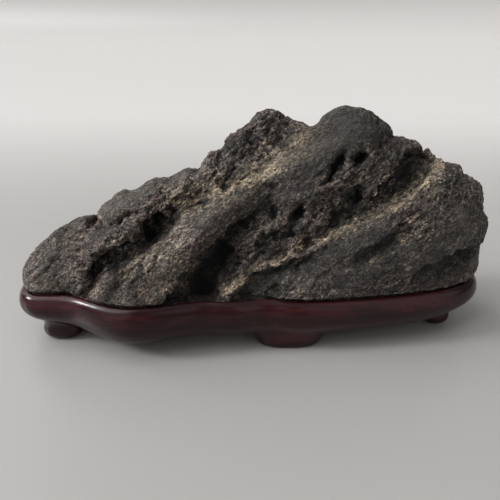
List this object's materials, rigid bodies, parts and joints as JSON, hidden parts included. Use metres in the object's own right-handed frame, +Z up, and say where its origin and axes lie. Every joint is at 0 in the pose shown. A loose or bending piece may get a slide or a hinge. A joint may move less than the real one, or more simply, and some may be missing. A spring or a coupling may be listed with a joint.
{
  "type": "scholars rock with stand",
  "caption": "Weathered scholar's rock shaped like a small mountain range, with slanting ridges, gullies and pits, resting in the sunk seat of a low boat-shaped hardwood stand on short feet.",
  "frame": {"origin": "middle of the footprint, on the surface the stand's feet rest on", "axes": "+X along the length, towards the rock's tall blunt end; +Y from the display side to the back; +Z up"},
  "size_m": [0.2268, 0.0823, 0.1066],
  "materials": {
    "stone": "dark grey-brown weathered stone, matt and pitted, with smoother worn slabs and sandy dust in the hollows",
    "hardwood": "very dark reddish-brown hardwood, oiled and polished to a soft gloss"
  },
  "bodies": {
    "root": {"rock": "stone", "stand": "hardwood"}
  },
  "joints": []
}
